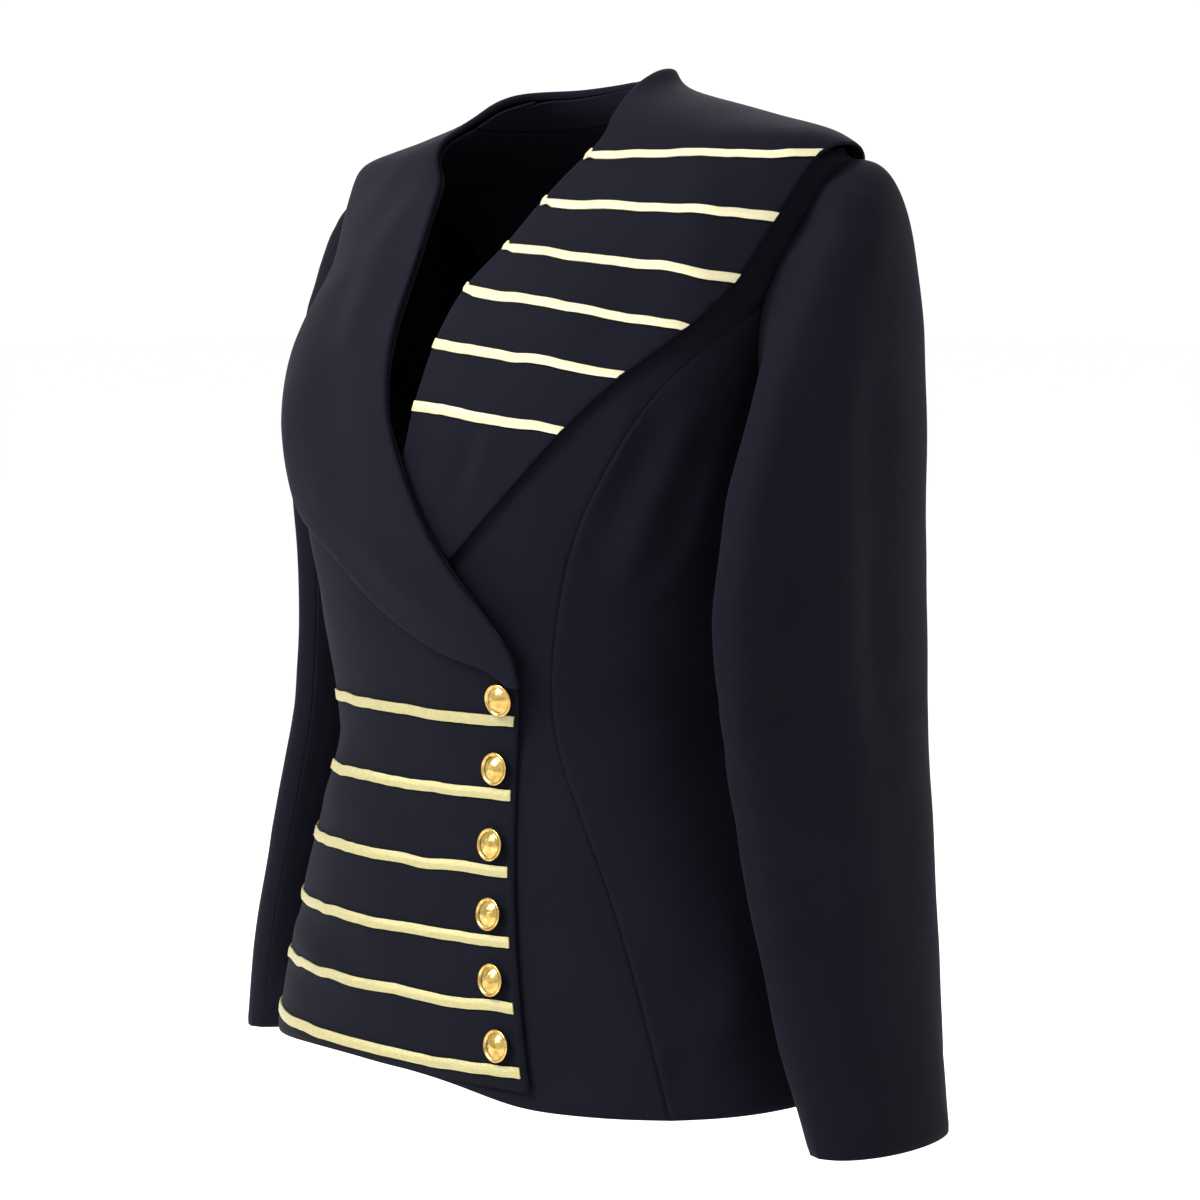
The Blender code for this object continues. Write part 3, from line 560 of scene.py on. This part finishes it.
def top_edge(shell):
    """The points of a sheet's top edge, from one upper corner to the other."""
    corners = [vert for vert in shell.verts if len(vert.link_edges) == 2]
    corners.sort(key=lambda vert: vert.co.z)
    start, stop = corners[-2:]
    low = corners[:2]
    for edge in start.link_edges:
        walked = [start, edge.other_vert(start)]
        while walked[-1] is not stop and walked[-1] not in low:
            edge = next(other for other in walked[-1].link_edges
                        if other.is_boundary and other is not edge)
            walked.append(edge.other_vert(walked[-1]))
        if walked[-1] is stop:
            return walked


def ways_on(shell, path):
    """For each point of an edge, the direction in which the sheet would go on past it."""
    edges = {shell.edges.get(pair) for pair in zip(path, path[1:])}
    ways = []
    for vert in path:
        inner = [edge.other_vert(vert) for edge in vert.link_edges if edge not in edges]
        ways.append(sum((vert.co - other.co for other in inner), Vector()).normalized())
    return ways


def add_allowance(piece, armhole, middle):
    """Rows of cloth past a sleeve piece's top edge. armhole is the middle of its armhole."""
    shell = bmesh.new()
    shell.from_mesh(piece.data)
    path = top_edge(shell)
    ways = ways_on(shell, path)
    rows = [path]
    for onward, out in SLEEVE_ALLOWANCE:
        made = []
        for vert, way, before in zip(path, ways, rows[-1]):
            away = vert.co - armhole
            away -= way * away.dot(way)
            made.append(shell.verts.new(before.co + way * onward + away.normalized() * out))
        rows.append(made)
    for low_row, high_row in zip(rows, rows[1:]):
        for corners in zip(low_row, low_row[1:], high_row[1:], high_row):
            shell.faces.new(corners)
    bmesh.ops.recalc_face_normals(shell, faces=shell.faces)
    shell.normal_update()
    if facing_out(shell.faces, middle) < 0:
        bmesh.ops.reverse_faces(shell, faces=shell.faces)
    shell.to_mesh(piece.data)
    shell.free()


print("allowance rows:", len(SLEEVE_ALLOWANCE))

# %% [markdown]
# Now the cloth itself. Subdivision rounds the facets, the creases are pressed in, and the edges sink
# a little where the seams draw them in. The left front sinks further where it lies under the right
# one. At the centre back both halves are brought together on the body's middle line. Solidify then
# adds the cloth's thickness inwards. The plain walls are 1.6 mm thick.

# %% Make one piece of cloth
CLOTH_THICKNESS = 1.5 * MM
SEAM_WIDTH = 2.4 * MM
SEAM_DEPTH = 0.5 * MM
UNDERLAP_SINK = 2.2 * MM
UNDERLAP_REACH = 30 * MM    # past the middle, where it has sunk fully
ON_EDGE = 0.01 * MM
BACK_REACH = 1.3 * MM       # edges this near the centre back meet there
BACK_OVERLAP = 0.06 * MM
cloth = {}
sheets = {}


def back_edge(points, rim):
    """Which points are on the centre back edge, and how far across the body they have to be."""
    at_back = (rim < ON_EDGE) & (np.abs(points[:, 0]) < BACK_REACH) & (points[:, 1] > 0)
    return at_back, -BACK_OVERLAP * np.sign(points[:, 0].mean())


def make_cloth(node, finish, middle, creases=(), levels=3, uneven=0.9, corner=CORNER, armhole=None):
    """One panel of cloth. uneven is the height of its ripple, in millimetres."""
    piece = lift_skin(node, node + "_cloth", middle, corner)
    if armhole is not None:
        add_allowance(piece, armhole, middle)
    close_edges(piece)
    print("corners kept sharp:", keep_corners(piece))
    finish_with(piece, "SUBSURF", levels=levels, render_levels=levels, boundary_smooth="PRESERVE_CORNERS")
    points = points_of(piece)
    normals = normals_of(piece)
    for row in creases:
        points = crease(points, normals, *row)
    points = ripple(points, normals, uneven)
    rim = rim_distance(piece)
    points = points - normals * (SEAM_DEPTH * np.exp(-(rim / SEAM_WIDTH) ** 2))[:, None]
    if node == "front_left":
        covered = np.clip(-points[:, 0] / UNDERLAP_REACH, 0, 1)
        points = points - normals * (UNDERLAP_SINK * covered)[:, None]
    at_back, back_line = back_edge(points, rim)
    points[at_back, 0] = back_line
    move_points(piece, points)
    sheets[node] = piece.data.copy()
    finish_with(piece, "SOLIDIFY", thickness=CLOTH_THICKNESS, offset=-1.0, use_even_offset=False)
    points = points_of(piece)
    points[np.tile(at_back, 2), 0] = back_line      # the inner skin's points follow the outer's
    move_points(piece, points)
    piece.data.materials.append(finish)
    stand_for(piece, node)
    cloth[node] = piece


print("cloth thickness in millimetres:", round(CLOTH_THICKNESS / MM, 2))

# %% [markdown]
# Eight panels make the body. The princess seams that part them are what fits the jacket to the
# waist. The creases of one table may run over more than one panel, so that they go on past a seam.

# %% Panels of the body
PANEL_CREASES = {
    "front_left": LEFT_BODY_CREASES, "front_right": RIGHT_FRONT_CREASES,
    "side_front_left": LEFT_BODY_CREASES, "side_front_right": RIGHT_FRONT_CREASES,
    "side_back_left": BACK_CREASES, "side_back_right": BACK_CREASES,
    "back_left": BACK_CREASES, "back_right": BACK_CREASES,
}
for node, rows in PANEL_CREASES.items():
    make_cloth(node, body_wool, torso_middle, rows)
print("body panels:", sum(len(piece.data.polygons) for piece in cloth.values()), "faces")

# %% [markdown]
# The sleeves hang beside the body and are flatter from side to side than an arm, with long soft
# bands down their length. A faint line four centimetres above the hem shows where it is turned up.
# The right sleeve takes the left one's creases in mirror image.

# %% Sleeves
CUFF_CREASE = (1.6, -0.5, CUFF_LINE)
ARMHOLE_MIDDLE = Vector((0.185, 0.022, -0.115))
left_creases = SLEEVE_CREASES + (CUFF_CREASE,)
for side, across, middle, rows in (("left", 1, left_sleeve_middle, left_creases),
                                   ("right", -1, right_sleeve_middle, mirrored_creases(left_creases))):
    armhole = Vector((across * ARMHOLE_MIDDLE.x, ARMHOLE_MIDDLE.y, ARMHOLE_MIDDLE.z))
    for part in ("upper_sleeve_", "under_sleeve_"):
        make_cloth(part + side, sleeve_wool[side], middle, rows, armhole=armhole)
print("sleeves:", [name for name in cloth if "sleeve" in name])

# %% [markdown]
# Lapel and collar are one wide roll of cloth each. Its folded edge is soft, and its free edge was
# pressed flat. The stand inside the neck is plain. Its rim is blunter than those of the other
# walls, so a smaller angle parts it from the skins.

# %% Collar
STAND_CORNER = math.radians(45)
make_cloth("collar_left", collar_wool["left"], torso_middle, COLLAR_LEFT_CREASES)
make_cloth("collar_right", collar_wool["right"], torso_middle, COLLAR_RIGHT_CREASES)
for side in ("left", "right"):
    make_cloth("collar_stand_" + side, collar_wool[side], torso_middle, levels=2, uneven=0.3,
               corner=STAND_CORNER)
print("collar:", [name for name in cloth if "collar" in name])

# %% [markdown]
# ## Braid
# A strip of flat braid is stitched down by hand, so it is never quite straight. Each plain strip's
# outer skin is cut finer, waved a little and laid on the finished cloth with Shrinkwrap. The cloth
# that it is laid on is a temporary copy of the sheets, before they had their thickness.

# %% Lay a strip on the cloth
STRIP_CUTS = 5
SLOW_WAVE = (22 * MM, 1.5 * MM)     # the length and height of the strip's unevenness
FINE_WAVE = (7 * MM, 0.35 * MM)
FINE_SEED = 9
BRAID_LIFT = 0.25 * MM


def ground_from(names, title):
    """One joined copy of some cloth, for the braid to be laid on."""
    bpy.ops.object.select_all(action="DESELECT")
    copies = []
    for name in names:
        copy = bpy.data.objects.new(title, sheets[name].copy())
        bpy.context.scene.collection.objects.link(copy)
        copy.select_set(True)
        copies.append(copy)
    bpy.context.view_layer.objects.active = copies[0]
    if len(copies) > 1:
        bpy.ops.object.join()
    copies[0].name = title
    return copies[0]


def waver(points, wave, seed):
    """How far each point of a strip is off its straight line."""
    length, height = wave
    return height * np.array([noise.noise(Vector((x / length, seed, y / length))) for x, y, _ in points])


def lay_strip(node, ground, seed, shrink):
    """A plain strip's skin, laid on the cloth. A shrink below 1 draws its roll end in."""
    piece = lift_skin(node, node + "_strip", torso_middle)
    choose(piece)
    bpy.ops.object.mode_set(mode="EDIT")
    bpy.ops.mesh.select_all(action="SELECT")
    bpy.ops.mesh.subdivide(number_cuts=STRIP_CUTS, smoothness=0)
    bpy.ops.object.mode_set(mode="OBJECT")
    points = points_of(piece)
    points[:, 2] += waver(points, SLOW_WAVE, seed) + waver(points, FINE_WAVE, seed + FINE_SEED)
    free_end = points[np.argmax(points[:, 0])]
    move_points(piece, free_end + (points - free_end) * shrink)
    finish_with(piece, "SHRINKWRAP", target=ground, wrap_method="NEAREST_SURFACEPOINT",
                wrap_mode="ABOVE_SURFACE", offset=BRAID_LIFT)
    return piece


print("strip helpers ready")

# %% [markdown]
# The herringbone has to run along each strip, so the strip needs a UV map of its own. A smooth curve
# is fitted through the strip's points, from one end to the other round the body. U is how far along
# that curve a point is, and V is how far across it. The same two numbers tell which points stick
# out at the end by the lapel's roll, where they are brought back to the strip's edges.

# %% Measure along and across a strip
BRAID_WIDTH = 6.5 * MM
LINE_PLACES = 80
LINE_BENDS = 6              # the power of the polynomial that the strip's line follows
END_REACH = 1.0             # centimetres of a strip at its roll end that are trimmed straight
END_KEPT = 0.05             # share that is kept of what sticks out past its long edges there


def smooth_line(order, values, places):
    """A smooth curve through the average of three columns of values."""
    fits = [np.polynomial.Polynomial.fit(order, values[:, axis], LINE_BENDS) for axis in range(3)]
    return np.stack([fit(places) for fit in fits], axis=1)


def strip_lines(points, normals):
    """The line down the middle of a strip, and the way across it at each place."""
    round_body = np.arctan2(points[:, 0], -points[:, 1])
    places = np.linspace(round_body.min(), round_body.max(), LINE_PLACES)
    middle_line = smooth_line(round_body, points, places)
    outs = smooth_line(round_body, normals, places)
    side_line = np.cross(outs, np.gradient(middle_line, axis=0))
    return middle_line, side_line / np.linalg.norm(side_line, axis=1, keepdims=True)


def strip_places(points, middle_line, side_line):
    """For each point, U along the strip in centimetres, V from edge to edge, and the way across."""
    steps = np.linalg.norm(np.diff(middle_line, axis=0), axis=1)
    travelled = np.concatenate(([0.0], np.cumsum(steps)))
    gaps = np.linalg.norm(points[:, None] - middle_line, axis=2)
    near = np.clip(np.argmin(gaps, axis=1), 1, len(middle_line) - 2)
    runs = middle_line[near + 1] - middle_line[near - 1]
    runs = runs / np.linalg.norm(runs, axis=1, keepdims=True)
    across = side_line[near]
    from_line = points - middle_line[near]
    u = (travelled[near] + np.sum(from_line * runs, axis=1)) / CM
    v = 0.5 + np.sum(from_line * across, axis=1) / BRAID_WIDTH
    return u, v, across


def trim_end(points, middle_line, side_line):
    """Brings the points that stick out past the long edges at the roll end back to them."""
    u, v, across = strip_places(points, middle_line, side_line)
    past = np.where(u < END_REACH, v - np.clip(v, 0, 1), 0)
    return points - across * (past * (1 - END_KEPT) * BRAID_WIDTH)[:, None]


def add_strip_uv(piece, middle_line, side_line):
    """A UV map of the strip, for the pattern of its weave."""
    u, v, _ = strip_places(points_of(piece), middle_line, side_line)
    layer = piece.data.uv_layers.new(name="strip")
    corners = np.empty(len(piece.data.loops), int)
    piece.data.loops.foreach_get("vertex_index", corners)
    layer.data.foreach_set("uv", np.stack((u, v), axis=1)[corners].reshape(-1))


print("braid width in millimetres:", round(BRAID_WIDTH / MM, 2))

# %% [markdown]
# Each strip is then raised to its thickness, a little more along its middle than at its edges, and
# Solidify fills it down to the cloth. The lapel's strips end at its roll, so they are the ones that
# are shortened and trimmed.

# %% Lay all twelve braids
BRAID_THICKNESS = 1.0 * MM
BRAID_CROWN = 0.2 * MM
BRAID_SHOULDER = 1.4 * MM   # how wide the rounded part at each edge is
BRAID_FOLD = math.radians(50)       # sharper edges than this are drawn sharp
LAPEL_SHRINK = 0.98
LAPEL_TRIMS = 4
NUMBERS = range(1, 7)       # six strips on each side, and six buttons
FRONT_SEED_STEP = 1.7       # each strip is uneven in its own way
LAPEL_SEED = 20
LAPEL_SEED_STEP = 2.3


def make_braid(node, ground, finish, seed, shrink=1.0, trims=0):
    """One finished strip of braid. trims is how often its roll end is trimmed."""
    piece = lay_strip(node, ground, seed, shrink)
    crown = BRAID_CROWN * (1 - np.exp(-(rim_distance(piece) / BRAID_SHOULDER) ** 2))
    normals = normals_of(piece)
    points = points_of(piece) + normals * (BRAID_THICKNESS + crown)[:, None]
    middle_line, side_line = strip_lines(points, normals)
    for _ in range(trims):
        points = trim_end(points, middle_line, side_line)
        middle_line, side_line = strip_lines(points, normals)
    move_points(piece, points)
    add_strip_uv(piece, middle_line, side_line)
    finish_with(piece, "SOLIDIFY", thickness=BRAID_THICKNESS, offset=-1.0)
    choose(piece)
    bpy.ops.object.shade_smooth_by_angle(angle=BRAID_FOLD)
    piece.data.materials.append(finish)
    stand_for(piece, node)
    return piece


front_ground = ground_from(("front_right", "side_front_right"), "front_ground")
front_braids = [make_braid(f"front_braid_{number}", front_ground, front_gold, FRONT_SEED_STEP * number)
                for number in NUMBERS]
lapel_ground = ground_from(("collar_left",), "lapel_ground")
lapel_braids = [make_braid(f"lapel_braid_{number}", lapel_ground, lapel_gold,
                           LAPEL_SEED + LAPEL_SEED_STEP * number, LAPEL_SHRINK, LAPEL_TRIMS)
                for number in NUMBERS]
for ground in (front_ground, lapel_ground):
    bpy.data.objects.remove(ground)
print("braids:", len(front_braids) + len(lapel_braids))

# %% [markdown]
# ## Buttons
# Each button is a stamped dome with a corded rim. One is modelled at the origin, facing up: the
# circle of its top is extruded and scaled ring by ring down the dome, over the rim and in to the
# shank, as it would be by hand.

# %% Extrude the button, ring by ring
BUTTON_SIDES = 48
# Radius and height of each ring, in millimetres, from the top of the dome to the foot of the shank.
BUTTON_PROFILE = ((1.2, 6.5), (2.2, 6.3), (3.5, 5.9), (5.0, 5.3), (6.3, 4.6), (7.2, 3.9), (7.6, 3.5),
                  (8.1, 3.4), (8.5, 3.7), (9.0, 4.1), (9.6, 4.0), (10.0, 3.5), (10.0, 2.9), (9.3, 2.4),
                  (7.6, 2.2), (3.2, 2.1), (2.6, 1.6), (2.6, 0.3))
top_radius, top_height = BUTTON_PROFILE[0]
bpy.ops.mesh.primitive_circle_add(vertices=BUTTON_SIDES, radius=top_radius * MM, fill_type="TRIFAN",
                                  location=(0, 0, top_height * MM))
button_pattern = bpy.context.object
button_pattern.name = "button_pattern"
bpy.ops.object.transform_apply(location=True, rotation=False, scale=False)
bpy.ops.object.mode_set(mode="EDIT")
bpy.ops.mesh.select_mode(type="EDGE")
bpy.ops.mesh.select_all(action="DESELECT")
bpy.ops.mesh.select_non_manifold()
for (radius, height), (next_radius, next_height) in zip(BUTTON_PROFILE, BUTTON_PROFILE[1:]):
    bpy.ops.mesh.extrude_edges_move()
    bpy.ops.transform.translate(value=(0, 0, (next_height - height) * MM))
    grow = next_radius / radius
    bpy.ops.transform.resize(value=(grow, grow, 1), center_override=(0, 0, next_height * MM))
bpy.ops.mesh.edge_face_add()
bpy.ops.mesh.select_all(action="SELECT")
bpy.ops.mesh.normals_make_consistent(inside=False)
bpy.ops.object.mode_set(mode="OBJECT")
finish_with(button_pattern, "SUBSURF", levels=1, render_levels=1)
print("button pattern:", len(button_pattern.data.polygons), "faces")

# %% [markdown]
# The stamp gives the dome a plain rosette in low relief and the rim its cord. Both are soft rings of
# height on the button's face: the rosette's ring rises and falls six times round it, and the cord's
# ring forty times.

# %% Stamp the relief
PETALS = 6
LOWEST_PETAL = -0.3     # the hollows between petals are cut short
CORD_TWISTS = 40
FACE_FROM = 3.3 * MM    # how high up the face begins
ROSETTE = (3.4, 1.7, 0.14)      # radius, width and height of each ring, in millimetres
BOSS = (0.0, 1.3, 0.12)
CORD = (9.3, 0.7, 0.13)
BUTTON_FOLD = math.radians(60)


def ring(reach, radius, width, height):
    """A soft raised ring, with its measures in millimetres."""
    return np.exp(-((reach - radius * MM) / (width * MM)) ** 2) * height * MM


shape = points_of(button_pattern)
turn = np.arctan2(shape[:, 1], shape[:, 0])
reach = np.hypot(shape[:, 0], shape[:, 1])
petals = ring(reach, *ROSETTE) * np.maximum(np.cos(PETALS * turn), LOWEST_PETAL)
boss = ring(reach, *BOSS)
cord = ring(reach, *CORD) * np.cos(CORD_TWISTS * turn)
shape[:, 2] += np.where(shape[:, 2] > FACE_FROM, petals + boss + cord, 0)
move_points(button_pattern, shape)
choose(button_pattern)
bpy.ops.object.shade_smooth_by_angle(angle=BUTTON_FOLD)
button_pattern.data.materials.append(gilt)
print("relief in millimetres:", round(float((petals + boss).max() / MM), 2))

# %% [markdown]
# The button is copied to each plain button's place and tilt. Real buttons hang on their thread, so
# each leans a little on its shank, and none is turned the same way as the next.

# %% Set the buttons in place
BUTTON_LEAN = math.radians(11)      # towards the wearer's right
BUTTON_TURN = 17                    # degrees more for each button


def button_seat(node):
    """Foot and direction of a plain button: its thin direction, pointing away from the body."""
    points = np.unique(points_of(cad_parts[node]).round(6), axis=0)
    centre = points.mean(axis=0)
    _, _, axes = np.linalg.svd(points - centre)
    out = Vector(axes[2])
    if out.dot(Vector(centre) - torso_middle(centre[2])) < 0:
        out = -out
    foot = ((points - centre) @ np.array(out)).min()
    return Vector(centre) + out * float(foot), out


def set_button(node, turned):
    """A button on its plain node's seat, leaning on its shank and turned by some degrees."""
    foot, out = button_seat(node)
    out.rotate(Quaternion((0, 0, 1), -BUTTON_LEAN))
    piece = button_pattern.copy()
    piece.data = button_pattern.data.copy()
    piece.name = node + "_dome"
    bpy.context.scene.collection.objects.link(piece)
    tilt = out.to_track_quat("Z", "Y").to_matrix().to_4x4()
    spin = Matrix.Rotation(math.radians(turned), 4, "Z")
    piece.data.transform(Matrix.Translation(foot) @ tilt @ spin)
    piece.data.update()
    stand_for(piece, node)
    return piece


buttons = [set_button(f"button_{number}", BUTTON_TURN * number) for number in NUMBERS]
bpy.data.objects.remove(button_pattern)
print("buttons:", [piece.name for piece in buttons])

# %% [markdown]
# ## Facts about the cloth
# The cut of every piece of cloth is listed: the width and length of the smallest rectangle of cloth that
# its pattern piece needs, and the pattern's own area, since no piece is a rectangle. Each is printed
# beside the area of the modelled piece. The sizes were measured along this jacket's own panels. Braid and
# buttons go with the cloth that they are sewn on.

# %% Cut of each piece in metres: width, length, area
CUTS = {
    "front_left": (0.30, 0.61, 0.117), "front_right": (0.32, 0.60, 0.118),
    "side_front_left": (0.16, 0.48, 0.056), "side_front_right": (0.16, 0.48, 0.056),
    "side_back_left": (0.13, 0.48, 0.046), "side_back_right": (0.13, 0.48, 0.046),
    "back_left": (0.21, 0.60, 0.086), "back_right": (0.21, 0.60, 0.085),
    "upper_sleeve_left": (0.22, 0.60, 0.105), "upper_sleeve_right": (0.22, 0.60, 0.105),
    "under_sleeve_left": (0.18, 0.56, 0.086), "under_sleeve_right": (0.18, 0.56, 0.088),
    "collar_left": (0.21, 0.56, 0.075), "collar_right": (0.23, 0.56, 0.083),
    "collar_stand_left": (0.03, 0.12, 0.0024), "collar_stand_right": (0.03, 0.12, 0.0024),
}
for name, (width, length, area) in CUTS.items():
    modelled = sum(face.area for face in cloth[name].data.polygons) / 2     # both skins, halved
    print("cut", name, width, "x", length, "area", area, "modelled", round(modelled, 4))

# %% [markdown]
# ## Studio
# A pale floor, a pale room and three large soft lights, as for a catalogue photograph. The strong
# one is in front and high, so that it draws the folds. The others only part the edges from the dark.

# %% Floor and light
FLOOR_HEIGHT = -0.95
LIT_PLACE = Vector((0, 0, -0.3))
LIGHTS = (("key_light", (-0.5, -2.3, 1.7), 1.3, 130), ("side_light", (2.6, -0.6, 0.9), 1.2, 4),
          ("back_light", (-1.8, 1.8, 1.4), 1.6, 25))     # name, place, size and power
bpy.ops.mesh.primitive_plane_add(size=60, location=(0, 0, FLOOR_HEIGHT))
floor = bpy.context.object
floor.name = "floor"
floor_paint, _, shader = start_material("floor_paint", Roughness=0.9, Base_Color=(0.97, 0.97, 0.97, 1))
floor.data.materials.append(floor_paint)
for name, place, size, power in LIGHTS:
    aim = (LIT_PLACE - Vector(place)).to_track_quat("-Z", "Y").to_euler()
    bpy.ops.object.light_add(type="AREA", location=place, rotation=aim)
    lamp = bpy.context.object
    lamp.name = name
    lamp.data.size = size
    lamp.data.energy = power
world = bpy.data.worlds.new("room")
world.use_nodes = True
room = world.node_tree.nodes["Background"]
room.inputs["Color"].default_value = (1.0, 1.0, 1.0, 1)
room.inputs["Strength"].default_value = 1.03
bpy.context.scene.world = world
bpy.context.scene.view_settings.view_transform = "Standard"
print("lights:", [name for name, *_ in LIGHTS])
